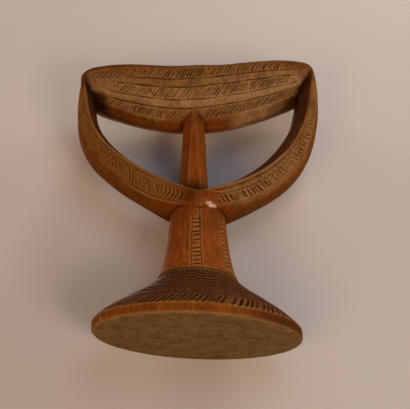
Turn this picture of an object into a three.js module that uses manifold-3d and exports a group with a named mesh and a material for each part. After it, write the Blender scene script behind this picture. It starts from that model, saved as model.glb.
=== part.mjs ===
// A carved wooden headrest, cut from one block. An oval foot runs up into a waisted stem. The stem
// carries a crescent whose two arms rise to the ends of a boat-shaped platform, and a post in the
// middle of the crescent holds the platform up between them. Bands of oblique strokes cross the
// platform's slanted sides, the crescent and the foot, and ladders of rungs climb the stem.
// Millimetres, +Z up, the front facing -Y, the origin in the middle of the flat underside.
import * as THREE from "three";
import { mergeVertices } from "three/addons/utils/BufferGeometryUtils.js";
import Module from "manifold-3d";

const wasm = await Module();
wasm.setup();

const { clamp, degToRad, lerp, smoothstep } = THREE.MathUtils;

// Foot and stem: ovals at heights over the floor, from the underside's edge over the rim, the
// flank and the waist to the end that is hidden in the crescent
const FOOT = {
  height: [0, 1.2, 5, 8.6, 12.3, 19, 25, 31.5, 38, 52, 66, 84],
  halfWidth: [55.8, 57, 57, 54.2, 49.7, 39.8, 30.4, 23.4, 21, 18.3, 17, 15.5],
  halfDepth: [34, 35.2, 35.3, 34, 32, 28, 23.8, 20.4, 18.9, 17.4, 16.8, 14.5],
};
const FOOT_SIDES = 36;
const LOWER_HATCH = { from: 5.5, to: 11.8, strokes: 44, lean: 0.07 };
const UPPER_HATCH = { from: 19.8, to: 30.5, strokes: 28, lean: 0.15 };

// Crescent: radii and half depths round a centre in the platform, at five angles from straight
// down: the keel over the stem, the shoulder, the hip, the neck and the tip of each arm
const CRESCENT_CENTRE = 165;
const CRESCENT_SIDE = 0.7; // how far that centre lies to the right of the foot's
const CRESCENT = {
  angle: [0, 25, 55, 80, 95.5],
  outer: [95, 87.8, 84.1, 78.2, 75.2],
  arris: [91.5, 85.8, 81.2, 76.7, 74.3],
  inner: [81.5, 76.8, 74, 71.4, 73.2],
  innerDepth: [18, 18, 18, 18.3, 18.8],
  arrisDepth: [17.2, 8.5, 9, 14.5, 17.8],
  bevel: [1, 3.2, 5.2, 4.8, 2.4],
};
const BEVEL_DEPTH = 3.5;
const BEVEL_BIAS = 0.3; // the right arm's inner bevel is this share wider than drawn, the left's narrower
const INNER_CROWN = 1.8;
const KEEL_ROUND = { rise: 0.2, depth: 0.6 }; // shares of the way from the keel to the lower arris
const CROWN_ROUND = { rise: 0.3, depth: 0.6 }; // the same over the crown of the inner face
const CRESCENT_STEPS = 36;
const CRESCENT_HATCH = { fromAngle: 11, toAngle: 66, strokes: 20, from: 0.16, to: 0.66, lean: 1.4 };

// Platform: a boat shape with slanted sides that meet in a narrow keel
const PLATFORM_HALF = 75;
const PLATFORM_CORNER = 9;
const CORNER_SHARE = 0.12; // of the half depth, rounded off at the ends
const CORNER_DROP = 4.4;
const MIDDLE_HALF_DEPTH = 29.5;
const END_HALF_DEPTH = 19;
const TOP_HEIGHT = 170.8;
const TOP_RISE = 7.4; // from the dip in the middle to the crests near the ends
const CREST = 64;
const DIP_HALF = 8; // the dip is level this far from the middle
const KEEL_HEIGHT = 140.6;
const KEEL_RISE = 20.5;
const KEEL_REACH = 66;
const KEEL_HALF = 6.5;
const KEEL_EDGE = 1.8; // how far the keel's two edges stand above its middle
const LIP = 3;
const SIDE_BULGE = 2.2;
const TOP_DISH = 1.5;
const DISH = [
  { drop: 0.1, depth: 0.93 },
  { drop: 0.6, depth: 0.6 },
  { drop: 1, depth: 0 },
];
const END_THICKNESS = 5;
const PLATFORM_STEPS = 30;

// Two plain ridges run along each slanted side, between three bands of strokes. They are stated as
// shares of the way from the keel up to the lip, and left and right are as seen from that side.
const RIDGES = [
  { from: 0.25, to: 0.39 },
  { from: 0.65, to: 0.765 },
];
const RIDGE_HEIGHT = 0.6;
const RIDGE_FLANK = 0.02;
const BANDS = [
  { from: 0.79, to: 0.97, left: -62, right: 60, strokes: 38 },
  { from: 0.42, to: 0.62, left: -50, right: 57, strokes: 33 },
  { from: 0.01, to: 0.22, left: -54, right: 60, strokes: 34 },
];
const BACK_BANDS = [0, 1];
const BACK_STROKE_SHARE = 0.35;
const BAND_LEAN = 5;

// Post: eight-sided and a little to the left. It tapers from its foot in the crescent to its head in the
// platform, and its front and back facets narrow to a point.
const POST = { foot: 82, head: 154, halfWidth: [9.2, 6.1], halfDepth: [11, 9.3], side: -2.6, forward: 1.6 };
const POST_FACET = { foot: 0.5, head: 0.12, side: 0.45 };

// Ladders of rungs between two upright lines on the front, the right, the back and the left of the stem
const LADDER = { from: 33.5, to: 67, footHalf: 2.85, headHalf: 2.25, offset: -1.6, pieces: 3 };
const LADDERS = [
  { turn: -90, rungs: 12 },
  { turn: -33, rungs: 8 },
  { turn: 90, rungs: 5 },
  { turn: 147, rungs: 5 },
];

// Chip-cut strokes
const BOLD_CUT = { width: 1.8, depth: 1.2 };
const CUT = { width: 1.4, depth: 1.05 };
const FINE_CUT = { width: 1, depth: 0.8 };
const CUT_LIFT = 0.15; // raises a cutter so that it clears the facets' bulge
const NUDGE = 0.01; // a step along a surface, to find how it faces

// The carver's unevenness: the foot is turned against the arms, the stem leans, and the right end of
// the platform stands higher than the left
const FOOT_TURN = 3.4;
const ARM_TURN = 0.8;
const TURN_TOP = 60;
const LEAN = 0.027;
const ARM_TILT = 0.1;
const TILT_FROM = 85;
const TILT_TO = 150;

const WELD = 1e-3;
const WOOD = { color: "#8a4e22", roughness: 0.55, metalness: 0 };

// A smooth curve through stations that doesn't overshoot between them
function curveThrough(at, values) {
  const slopes = values.slice(1).map((value, i) => (value - values[i]) / (at[i + 1] - at[i]));
  const tangents = values.map((_, i) => {
    const before = slopes[i - 1] ?? slopes[i];
    const after = slopes[i] ?? slopes[i - 1];
    return before * after <= 0 ? 0 : (2 * before * after) / (before + after);
  });
  return (x) => {
    const t = clamp(x, at[0], at.at(-1));
    const i = Math.max(at.findLastIndex((station) => station < t), 0);
    const step = at[i + 1] - at[i];
    const u = (t - at[i]) / step;
    const eased = u * u * (3 - 2 * u);
    const leaving = tangents[i] * u * (1 - u) * (1 - u);
    const arriving = tangents[i + 1] * u * u * (u - 1);
    return lerp(values[i], values[i + 1], eased) + step * (leaving + arriving);
  };
}

// Every column of a table of stations as a curve over its first column
function curvesOver(table, first) {
  const columns = Object.keys(table).filter((name) => name !== first);
  return Object.fromEntries(columns.map((name) => [name, curveThrough(table[first], table[name])]));
}

const foot = curvesOver(FOOT, "height");
const crescent = curvesOver(CRESCENT, "angle");

// Moves a point of the even design to where the carver's hand left it
function handmade(point) {
  const turn = degToRad(lerp(FOOT_TURN, ARM_TURN, smoothstep(point.z, 0, TURN_TOP)));
  const turned = point.clone().applyAxisAngle(new THREE.Vector3(0, 0, 1), turn);
  const tilt = ARM_TILT * smoothstep(point.z, TILT_FROM, TILT_TO);
  return new THREE.Vector3(turned.x - LEAN * point.z, turned.y, point.z + tilt * turned.x);
}

// A closed geometry as a solid that can be joined and cut
function solidOf(geometry) {
  geometry.deleteAttribute("normal");
  geometry.deleteAttribute("uv");
  const merged = mergeVertices(geometry, WELD);
  return new wasm.Manifold(
    new wasm.Mesh({
      numProp: 3,
      vertProperties: merged.attributes.position.array,
      triVerts: new Uint32Array(merged.index.array),
    }),
  );
}

// A closed body through cross-sections that follow one another. Each holds the same number of
// corners, counterclockwise as seen from the end that the sections run towards.
function loft(sections) {
  const corners = sections[0].length;
  const spans = sections.length - 1;
  const net = new THREE.CylinderGeometry(1, 1, 1, corners, spans);
  const place = net.attributes.position;
  const knot = new THREE.Vector3();
  for (let i = 0; i < place.count; i++) {
    knot.fromBufferAttribute(place, i);
    const section = sections[Math.round((knot.y + 0.5) * spans)];
    const corner = Math.round((Math.atan2(knot.x, knot.z) / (2 * Math.PI)) * corners + corners) % corners;
    const onAxis = Math.hypot(knot.x, knot.z) < 0.5;
    const even = onAxis ? middleOf(section) : section[corner];
    place.setXYZ(i, ...handmade(even));
  }
  return solidOf(net);
}

function middleOf(points) {
  return points.reduce((sum, point) => sum.add(point), new THREE.Vector3()).divideScalar(points.length);
}

function steps(count) {
  return Array.from({ length: count + 1 }, (_, i) => i / count);
}

// Both halves of a section that is drawn once, from its lowest point round the back to its highest
function mirrored(half, toPoint) {
  const front = half.slice(1, -1).reverse();
  return [...half.map(([a, y]) => toPoint(a, y)), ...front.map(([a, y]) => toPoint(a, -y))];
}

// A point on the foot and stem at an angle from +X and a height
function footPoint(angle, height) {
  const x = foot.halfWidth(height) * Math.cos(angle);
  const y = foot.halfDepth(height) * Math.sin(angle);
  return new THREE.Vector3(x, y, height);
}

function footSolid() {
  const turns = steps(FOOT_SIDES).slice(0, -1);
  return loft(FOOT.height.map((height) => turns.map((turn) => footPoint(turn * 2 * Math.PI, height))));
}

// A point of the crescent at a signed angle from straight down, positive on the right
function crescentPoint(angle, radius, y) {
  const turn = degToRad(angle);
  const x = CRESCENT_SIDE + radius * Math.sin(turn);
  return new THREE.Vector3(x, y, CRESCENT_CENTRE - radius * Math.cos(turn));
}

// A point on the crescent's slanted front, from the lower arris at share 0 to the inner edge at 1
function crescentFront(angle, share) {
  const at = Math.abs(angle);
  const radius = lerp(crescent.arris(at), crescent.inner(at), share);
  const y = lerp(crescent.arrisDepth(at), crescent.innerDepth(at), share);
  return crescentPoint(angle, radius, -y);
}

function crescentSection(angle) {
  const at = Math.abs(angle);
  const [outer, arris, inner] = [crescent.outer(at), crescent.arris(at), crescent.inner(at)];
  const [innerDepth, arrisDepth] = [crescent.innerDepth(at), crescent.arrisDepth(at)];
  const crest = inner - crescent.bevel(at) * (1 + BEVEL_BIAS * Math.sign(angle));
  const crown = crest - INNER_CROWN;
  const half = [
    [outer, 0],
    [lerp(outer, arris, KEEL_ROUND.rise), arrisDepth * KEEL_ROUND.depth],
    [arris, arrisDepth],
    [lerp(arris, inner, 0.5), lerp(arrisDepth, innerDepth, 0.5)],
    [inner, innerDepth],
    [crest, innerDepth - BEVEL_DEPTH],
    [crown + INNER_CROWN * CROWN_ROUND.rise, (innerDepth - BEVEL_DEPTH) * CROWN_ROUND.depth],
    [crown, 0],
  ];
  return mirrored(half, (radius, y) => crescentPoint(angle, radius, y));
}

function crescentSolid() {
  const tip = CRESCENT.angle.at(-1);
  return loft(steps(CRESCENT_STEPS).map((t) => crescentSection(lerp(-tip, tip, t))));
}

// How far a place near a rounded end has come round its corner, 0 before the corner and 1 at the end
function roundOff(x, radius) {
  const into = clamp((Math.abs(x) - (PLATFORM_HALF - radius)) / radius, 0, 1);
  return 1 - Math.sqrt(1 - into * into);
}

function platformHalfDepth(x) {
  const plan = lerp(MIDDLE_HALF_DEPTH, END_HALF_DEPTH, (x / PLATFORM_HALF) ** 2);
  return plan * (1 - CORNER_SHARE * roundOff(x, PLATFORM_CORNER));
}

function platformTop(x) {
  const swell = smoothstep(Math.abs(x), DIP_HALF, CREST);
  return TOP_HEIGHT + TOP_RISE * swell - CORNER_DROP * roundOff(x, PLATFORM_CORNER);
}

function platformKeel(x) {
  return Math.min(KEEL_HEIGHT + KEEL_RISE * (x / KEEL_REACH) ** 2, platformTop(x) - END_THICKNESS);
}

// Height and half depth on the slanted side at a share of the way up to the lip, raised by an amount
function platformSlope(x, share, raised) {
  const bulge = (SIDE_BULGE * Math.sin(Math.PI * share) + raised) * Math.SQRT1_2;
  const y = lerp(KEEL_HALF, platformHalfDepth(x), share) + bulge;
  const z = lerp(platformKeel(x) + KEEL_EDGE, platformTop(x) - LIP, share) - bulge;
  return [z, y];
}

// A point on a slanted side, -1 the front and 1 the back, at a distance to the right as seen from there
function platformSide(side, along, share) {
  const x = -side * along;
  const [z, y] = platformSlope(x, share, 0);
  return new THREE.Vector3(x, side * y, z);
}

function platformSection(x) {
  const ridges = RIDGES.flatMap(({ from, to }) => [
    platformSlope(x, from - RIDGE_FLANK, 0),
    platformSlope(x, from, RIDGE_HEIGHT),
    platformSlope(x, to, RIDGE_HEIGHT),
    platformSlope(x, to + RIDGE_FLANK, 0),
  ]);
  const half = [
    [platformKeel(x), 0],
    platformSlope(x, 0, 0),
    ...ridges,
    platformSlope(x, 1, 0),
    ...DISH.map((ring) => [platformTop(x) - TOP_DISH * ring.drop, platformHalfDepth(x) * ring.depth]),
  ];
  return mirrored(half, (z, y) => new THREE.Vector3(x, y, z));
}

function platformSolid() {
  const places = steps(PLATFORM_STEPS).map((t) => PLATFORM_HALF * Math.sin((t - 0.5) * Math.PI));
  return loft(places.map(platformSection));
}

function postSection(t) {
  const half = lerp(...POST.halfWidth, t);
  const depth = lerp(...POST.halfDepth, t);
  const near = lerp(POST_FACET.foot, POST_FACET.head, t);
  const wide = POST_FACET.side;
  const right = [[near, -1], [1, -wide], [1, wide], [near, 1]];
  const left = right.map(([x, y]) => [-x, -y]);
  const height = lerp(POST.foot, POST.head, t);
  return [...right, ...left].map(
    ([x, y]) => new THREE.Vector3(POST.side + x * half, y * depth - POST.forward, height),
  );
}

// A chip-cut stroke between two places on a surface: a long lozenge half sunk in the wood, which
// leaves a V with pointed ends. The surface's two directions run rightwards and up as seen from outside.
function stroke(surface, from, to, { width, depth }) {
  const at = (u, v) => handmade(surface(u, v));
  const [u, v] = [lerp(from[0], to[0], 0.5), lerp(from[1], to[1], 0.5)];
  const rightwards = at(u + NUDGE, v).sub(at(u - NUDGE, v));
  const upwards = at(u, v + NUDGE).sub(at(u, v - NUDGE));
  const along = at(...to).sub(at(...from));
  const half = new THREE.Vector3(along.length() / 2, width / 2, depth + CUT_LIFT);
  along.normalize();
  const across = rightwards.cross(upwards).cross(along).normalize();
  const outward = new THREE.Vector3().crossVectors(along, across);
  const place = new THREE.Matrix4().makeBasis(along, across, outward).scale(half);
  place.setPosition(at(u, v).addScaledVector(outward, CUT_LIFT));
  return solidOf(new THREE.OctahedronGeometry(1).applyMatrix4(place));
}

// Strokes lean the same way all along a band on the platform
function platformStrokes(band, side, count) {
  const surface = (along, share) => platformSide(side, along, share);
  return steps(Math.round(count) - 1).map((t) => {
    const along = lerp(band.left, band.right, t);
    return stroke(surface, [along - BAND_LEAN / 2, band.from], [along + BAND_LEAN / 2, band.to], CUT);
  });
}

// One row leans one way on the right arm, and a zigzag runs along the left arm
function crescentStrokes(sign) {
  const hatch = CRESCENT_HATCH;
  return steps(hatch.strokes - 1).map((t, i) => {
    const angle = sign * lerp(hatch.fromAngle, hatch.toAngle, t);
    const lean = sign < 0 && i % 2 ? hatch.lean : -hatch.lean;
    return stroke(crescentFront, [angle - lean, hatch.from], [angle + lean, hatch.to], BOLD_CUT);
  });
}

function footStrokes({ from, to, strokes, lean }) {
  const turns = steps(strokes).slice(0, -1).map((t) => t * 2 * Math.PI);
  return turns.map((turn) => stroke(footPoint, [turn - lean, from], [turn + lean, to], BOLD_CUT));
}

// Two upright lines and the rungs between them, on the side of the stem at an angle from +X
function ladder({ turn, rungs: count }) {
  const place = (height, side) => {
    const half = lerp(LADDER.footHalf, LADDER.headHalf, smoothstep(height, LADDER.from, LADDER.to));
    return [degToRad(turn) + (LADDER.offset + side * half) / foot.halfWidth(height), height];
  };
  const climb = (share) => lerp(LADDER.from, LADDER.to, share);
  const rungs = steps(count).map(climb);
  const joints = steps(LADDER.pieces).map(climb);
  return [
    ...rungs.map((height) => stroke(footPoint, place(height, -1), place(height, 1), FINE_CUT)),
    ...[-1, 1].flatMap((side) =>
      joints.slice(1).map((top, i) => stroke(footPoint, place(joints[i], side), place(top, side), CUT)),
    ),
  ];
}

const body = [
  footSolid(),
  crescentSolid(),
  platformSolid(),
  loft(steps(4).map(postSection)),
].reduce((whole, form) => whole.add(form));

const cuts = [
  ...BANDS.flatMap((band) => platformStrokes(band, -1, band.strokes)),
  ...BACK_BANDS.flatMap((i) => platformStrokes(BANDS[i], 1, BANDS[i].strokes * BACK_STROKE_SHARE)),
  ...[-1, 1].flatMap(crescentStrokes),
  ...[LOWER_HATCH, UPPER_HATCH].flatMap(footStrokes),
  ...LADDERS.flatMap(ladder),
];
const carved = cuts.reduce((whole, cut) => whole.subtract(cut), body);

// The solid's triangles as a geometry
function geometryOf(solid) {
  const { numProp, vertProperties, triVerts } = solid.getMesh();
  const geometry = new THREE.BufferGeometry();
  const rows = new THREE.InterleavedBuffer(vertProperties, numProp);
  geometry.setAttribute("position", new THREE.InterleavedBufferAttribute(rows, 3, 0));
  geometry.setIndex(new THREE.BufferAttribute(triVerts, 1));
  geometry.computeVertexNormals();
  return geometry;
}

const headrest = new THREE.Mesh(geometryOf(carved), new THREE.MeshStandardMaterial(WOOD));
headrest.name = "headrest";

const part = new THREE.Group();
part.add(headrest);

export default part;
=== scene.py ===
"""A carved wooden headrest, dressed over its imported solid, in metres.

One block of worn hardwood: an oval foot and a waisted stem, a crescent with two arms, a post and a
dished platform. The same forms as the solid's are built finely here, in millimetres, melted into
one skin and then chip-cut, with the bands, ridges, ladders, cracks and flakes of the real one.
"""

import logging
import math
from dataclasses import dataclass, field
from enum import Enum
from typing import Any, Protocol

import bpy
import numpy as np
from mathutils import Matrix, Vector


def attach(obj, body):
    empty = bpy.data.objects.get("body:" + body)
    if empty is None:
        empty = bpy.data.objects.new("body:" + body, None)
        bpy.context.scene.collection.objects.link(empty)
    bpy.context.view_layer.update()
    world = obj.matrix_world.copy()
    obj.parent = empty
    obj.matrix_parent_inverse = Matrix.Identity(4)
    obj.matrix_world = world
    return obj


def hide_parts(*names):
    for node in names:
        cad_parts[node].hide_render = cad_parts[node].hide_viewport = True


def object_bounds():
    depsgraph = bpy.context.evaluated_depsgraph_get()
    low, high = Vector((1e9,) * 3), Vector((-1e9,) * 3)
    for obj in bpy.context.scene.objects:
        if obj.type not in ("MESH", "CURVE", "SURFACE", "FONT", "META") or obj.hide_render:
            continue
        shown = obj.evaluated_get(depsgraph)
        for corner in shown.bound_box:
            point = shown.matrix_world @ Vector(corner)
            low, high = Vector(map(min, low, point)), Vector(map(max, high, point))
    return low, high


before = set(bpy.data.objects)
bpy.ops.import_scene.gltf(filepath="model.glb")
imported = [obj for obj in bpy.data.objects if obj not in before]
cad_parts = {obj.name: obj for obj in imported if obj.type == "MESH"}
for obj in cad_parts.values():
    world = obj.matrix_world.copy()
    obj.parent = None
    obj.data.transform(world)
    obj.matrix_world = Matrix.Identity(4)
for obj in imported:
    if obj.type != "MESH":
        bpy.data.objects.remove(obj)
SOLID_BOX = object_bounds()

logging.basicConfig(level=logging.INFO, format="%(message)s")
LOG = logging.getLogger("headrest")

MM = 0.001
NODE = "headrest"
BODY = "root"

Array = np.ndarray
Floats = tuple[float, ...]
Pair = tuple[float, float]
Triple = tuple[float, float, float]
Cuts = tuple[Array, Array]
Body = tuple[Array, list[list[int]]]


def smooth(x: Array, low: float, high: float) -> Array:
    """A soft step over x from 0 at low to 1 at high. High may be under low, for a falling step."""
    t = np.clip((x - low) / (high - low), 0, 1)
    return t * t * (3 - 2 * t)


def span(x: Array, low: float, high: float, inside: float, outside: float = 0) -> Array:
    """A stretch of x that is 1 from so far inside its ends and 0 from so far outside them."""
    return smooth(x, low - outside, low + inside) * smooth(x, high + outside, high - inside)


def mix(a: Any, b: Any, t: Any) -> Any:
    """The place from a to b at share t."""
    return a + (b - a) * t


def valley(distance: Array, width: Any) -> Array:
    """A V cut's depth, 1 on its line and 0 from half its width out."""
    return np.clip(1 - np.abs(distance) / (width / 2), 0, 1)


def ripple(x: Array, length: float, seed: int) -> Array:
    """A gentle random wave.

    Args:
        x: Where to read it, in millimetres.
        length: The usual length of its waves, in millimetres.
        seed: Which wave.

    Returns:
        A number from about -1 to 1 for each x.
    """
    rng = np.random.default_rng(seed)
    waves, peak = 4, 2.6
    shares, turns = rng.uniform(0.6, 1.9, waves), rng.uniform(0, math.tau, waves)
    return sum(np.sin(math.tau * x * s / length + t) for s, t in zip(shares, turns)) / peak


class Curve:
    """A smooth curve through stations that doesn't overshoot between them."""

    def __init__(self, at: Floats, values: Floats) -> None:
        """Finds the slope at each station.

        Args:
            at: The stations, rising.
            values: The curve's value at each.
        """
        self.at, self.values = np.array(at, float), np.array(values, float)
        slopes = np.diff(self.values) / np.diff(self.at)
        before, after = np.r_[slopes[0], slopes], np.r_[slopes, slopes[-1]]
        product, total = before * after, before + after
        safe = np.where(product > 0, total, 1)
        self.tangents = np.where(product > 0, 2 * product / safe, 0)

    def __call__(self, x: Any) -> Array:
        """Reads the curve.

        Args:
            x: Where to read it.

        Returns:
            The curve's value there, held level past its ends.
        """
        t = np.clip(x, self.at[0], self.at[-1])
        i = np.clip(np.searchsorted(self.at, t) - 1, 0, len(self.at) - 2)
        step = self.at[i + 1] - self.at[i]
        u = (t - self.at[i]) / step
        leaving = self.tangents[i] * u * (1 - u) ** 2
        arriving = self.tangents[i + 1] * u * u * (u - 1)
        eased = u * u * (3 - 2 * u)
        return mix(self.values[i], self.values[i + 1], eased) + step * (leaving + arriving)


@dataclass(frozen=True)
class Hand:
    """The carver's unevenness: a turned foot, a leaning stem and a tilted platform."""

    foot_turn: float = 3.4
    arm_turn: float = 0.8
    turn_top: float = 60
    lean: float = 0.027
    arm_tilt: float = 0.1
    tilt_from: float = 85
    tilt_to: float = 150

    def place(self, even: Array) -> Array:
        """Moves points of the even design to where the hand left them.

        Args:
            even: Points, one a row, in millimetres.

        Returns:
            The moved points.
        """
        x, y, z = even.T
        turn = np.radians(mix(self.foot_turn, self.arm_turn, smooth(z, 0, self.turn_top)))
        across = x * np.cos(turn) - y * np.sin(turn)
        deep = x * np.sin(turn) + y * np.cos(turn)
        tilt = self.arm_tilt * smooth(z, self.tilt_from, self.tilt_to)
        return np.column_stack([across - self.lean * z, deep, z + tilt * across])


@dataclass(frozen=True)
class Strokes:
    """A band of oblique chip-cut strokes across a strip of the surface.

    The strip is measured along its length in millimetres and across it from share 0 to 1. Lean and
    bend are how far a stroke's head and its middle stand aside, in millimetres.
    """

    low: float
    high: float
    left: float
    right: float
    pitch: float
    lean: float
    width: float
    depth: float
    seed: int
    unevenness: float = 0.35
    missing: float = 0.06
    bend: float = 0
    worn: float = 0.5
    stray: float = 0.16
    swing: float = 0.12
    short: float = 0.04
    taper: float = 0.15
    tip_width: float = 0.45
    rubbed_length: float = 17
    fade: float = 1
    fade_share: float = 0.03

    def cut(self, along: Array, share: Array) -> Array:
        """How deep the strokes go.

        Args:
            along: Places along the strip, in millimetres.
            share: Shares of the way up the strip.

        Returns:
            Depths in millimetres.
        """
        rise = (share - self.low) / (self.high - self.low)
        count = int(math.ceil((self.right - self.left) / self.pitch)) + 1
        rng = np.random.default_rng(self.seed)
        shift, start, end, strength, skew = (rng.uniform(-1, 1, count) for _ in range(5))
        gone = rng.uniform(0, 1, count) < self.missing
        upright = along - self.lean * (rise - 0.5) + self.bend * (1 - (2 * rise - 1) ** 2)
        k = np.clip(np.floor((upright - self.left) / self.pitch).astype(int), 0, count - 1)
        middle = self.left + self.pitch * (k + 0.5 + self.stray * shift[k])
        swing = self.swing * self.pitch * skew[k] * (rise - 0.5)
        foot, head = self.short * (start[k] + 1), 1 - self.short * (end[k] + 1)
        ends = np.clip(np.minimum(rise - foot, head - rise) / self.taper, 0, 1)
        depth = self.depth * (1 + self.unevenness * strength[k]) * ~gone[k]
        inside = span(along, self.left, self.right, self.pitch)
        chip = valley(upright - middle - swing, self.width * mix(self.tip_width, 1, ends))
        return depth * ends * inside * self.kept(along, rise) * chip

    def kept(self, along: Array, rise: Array) -> Array:
        """How much of their depth the strokes kept where years of handling rubbed them.

        Args:
            along: Places along the strip, in millimetres.
            rise: Shares of the way up the band.

        Returns:
            A share for each place.
        """
        patches = ripple(along, self.rubbed_length, self.seed + 3)
        heights = 0.6 * ripple(rise + along * 0.02, 0.9, self.seed)
        return 1 - self.worn * smooth(patches + heights, -0.3, 0.8)

    def cover(self, along: Array, share: Array) -> Array:
        """Where the band lies, 1 in it and 0 outside."""
        inside = span(along, self.left, self.right, self.fade, self.fade)
        return inside * span(share, self.low, self.high, 0, self.fade_share)


@dataclass(frozen=True)
class Groove:
    """A V groove that runs along a strip at one share of its height."""

    share: float
    left: float
    right: float
    width: float
    depth: float
    seed: int = 1
    wander: float = 0.25
    wander_length: float = 37
    press_length: float = 26
    run_out: float = 5

    def cut(self, along: Array, share: Array, height: Array) -> Array:
        """How deep the groove goes.

        Args:
            along: Places along the strip, in millimetres.
            share: Shares of the way up the strip.
            height: The strip's height there, in millimetres.

        Returns:
            Depths in millimetres.
        """
        wander = self.wander * ripple(along, self.wander_length, self.seed)
        depth = self.depth * (0.8 + 0.3 * ripple(along, self.press_length, self.seed + 7))
        ends = span(along, self.left, self.right, self.run_out)
        return depth * ends * valley((share - self.share) * height - wander, self.width)


@dataclass(frozen=True)
class Ridge:
    """A plain raised ridge with soft flanks that runs along a strip."""

    low: float
    high: float
    left: float
    right: float
    height: float
    flank: float = 0.035
    run_out: float = 3

    def rise(self, along: Array, share: Array) -> Array:
        """How far the ridge stands up, in millimetres, at places along and shares up the strip."""
        across = span(share, self.low, self.high, self.flank, self.flank)
        return self.height * across * span(along, self.left, self.right, self.run_out, self.run_out)


@dataclass(frozen=True)
class Panel:
    """What is carved in one strip: its ridges, its grooves and its bands of strokes."""

    ridges: tuple[Ridge, ...]
    grooves: tuple[Groove, ...]
    bands: tuple[Strokes, ...] = ()

    def carve(self, along: Array, share: Array, height: Array) -> Cuts:
        """Raises the ridges and makes the cuts.

        Args:
            along: Places along the strip, in millimetres.
            share: Shares of the way up the strip.
            height: The strip's height there, in millimetres.

        Returns:
            How far the ridges rise and how deep the cuts go, in millimetres.
        """
        rise = sum(ridge.rise(along, share) for ridge in self.ridges)
        cuts = [groove.cut(along, share, height) for groove in self.grooves]
        cuts += [band.cut(along, share) for band in self.bands]
        return rise, np.maximum.reduce(cuts)


def hatching(*rows: Floats) -> tuple[Strokes, ...]:
    """Bands of strokes from rows of numbers, which follow the order of a band's own values."""
    return tuple(Strokes(*row) for row in rows)


def on_slope(at: Array, low: Array, high: Array) -> tuple[Array, ...]:
    """Where points lie against a straight slope.

    Args:
        at: The points, in two rows.
        low: The slope's lower end beside each point.
        high: Its upper end.

    Returns:
        Their shares of the way up it, its height, and how far they are off it.
    """
    chord, away = high - low, at - low
    height = np.hypot(*chord)
    share = (away * chord).sum(0) / height**2
    return share, height, (away[0] * chord[1] - away[1] * chord[0]) / height


def loft(sections: Array) -> Body:
    """A closed body through cross-sections that follow one another.

    Args:
        sections: Sections by corners by 3. Each section runs counterclockwise as seen from the end
            that the sections run towards.

    Returns:
        Its vertices and its faces.
    """
    count, corners = sections.shape[:2]
    knots = np.arange(count * corners).reshape(count, corners)
    low, high = knots[:-1], knots[1:]
    quads = np.stack([low, np.roll(low, -1, 1), np.roll(high, -1, 1), high], -1)
    faces = quads.reshape(-1, 4).tolist()
    return sections.reshape(-1, 3), faces + [knots[0][::-1].tolist(), knots[-1].tolist()]


def mirrored(half: Array) -> Array:
    """A closed section from its half, which runs from the bottom round the back to the top."""
    return np.concatenate([half, half[-2:0:-1] * [1, -1]])


@dataclass(frozen=True)
class Carving:
    """What the chisel and the years did at each point of the skin.

    The lift is along the normal and the cut is the cuts' depth, both in millimetres. Worked is 1 in
    the hatched bands, and the painted light nears 1 where the wood is painted lighter as if lit.
    """

    lift: Array
    cut: Array
    worked: Array
    tone: Array


class Form(Protocol):
    """A sub-assembly of the block: a closed body of its own and what is carved on it."""

    def build(self) -> Body:
        """The form's vertices and faces, in millimetres."""

    def carve(self, points: Array) -> Carving:
        """What is carved on the form at each point of the skin."""


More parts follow.
